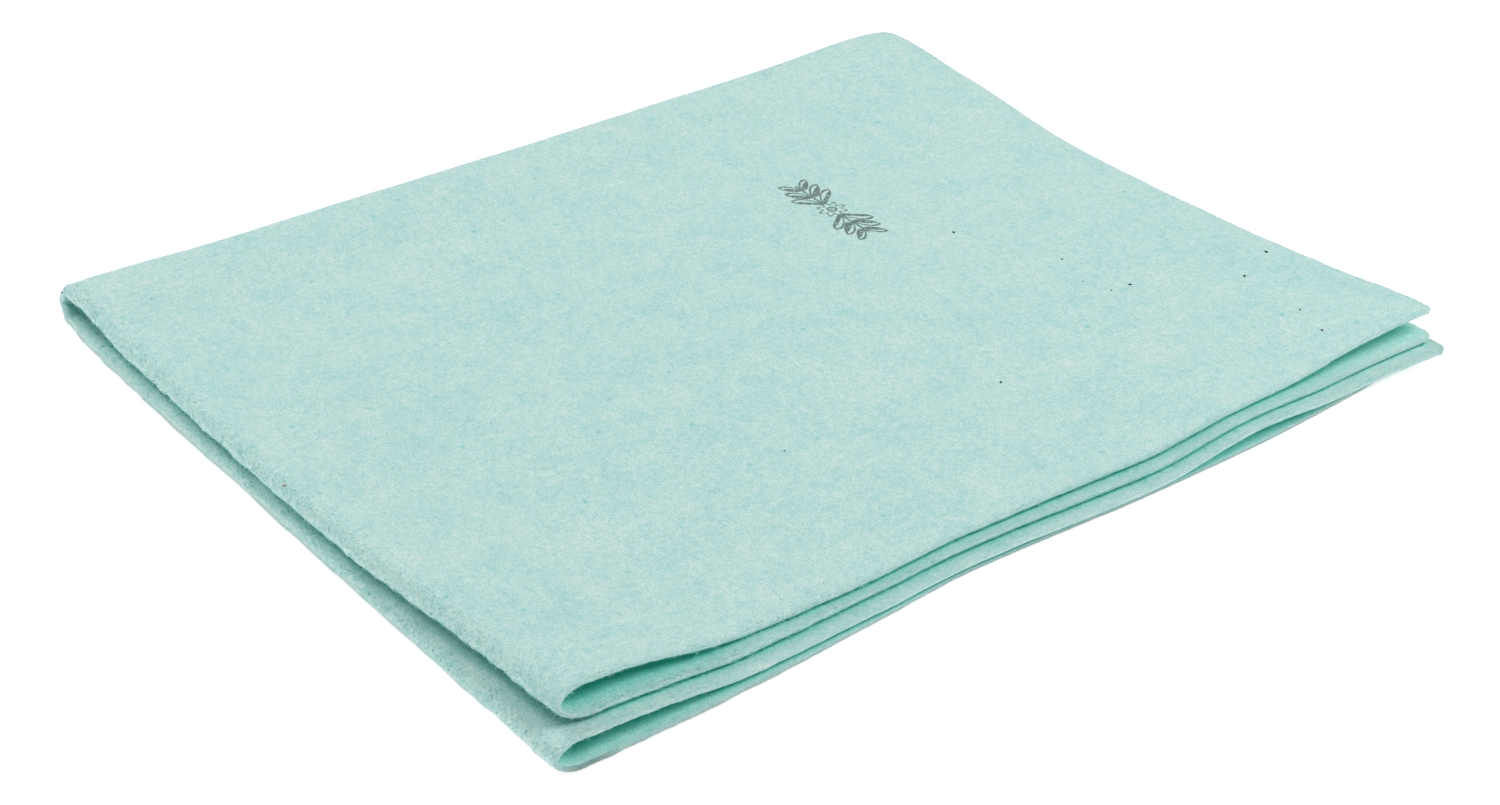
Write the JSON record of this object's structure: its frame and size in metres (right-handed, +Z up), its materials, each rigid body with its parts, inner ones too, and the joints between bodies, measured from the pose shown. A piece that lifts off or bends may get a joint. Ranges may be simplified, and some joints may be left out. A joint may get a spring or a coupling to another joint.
{
  "type": "folded floor cloth",
  "caption": "Soft felt floor cloth folded into a flat rectangular pad, with raw cut edges at the front and right and rounded folds at the back and left.",
  "frame": {"origin": "middle of the cloth's footprint, on the surface that it lies on", "axes": "+X along the longer side, from the doubled first fold to the open side; +Y towards the second fold, away from the long cut edges; +Z up"},
  "size_m": [0.307, 0.2542, 0.0161],
  "materials": {
    "felt": "soft matt needled felt in pale blue green, with raw cut edges"
  },
  "bodies": {
    "root": {"cloth": "felt"}
  },
  "joints": []
}
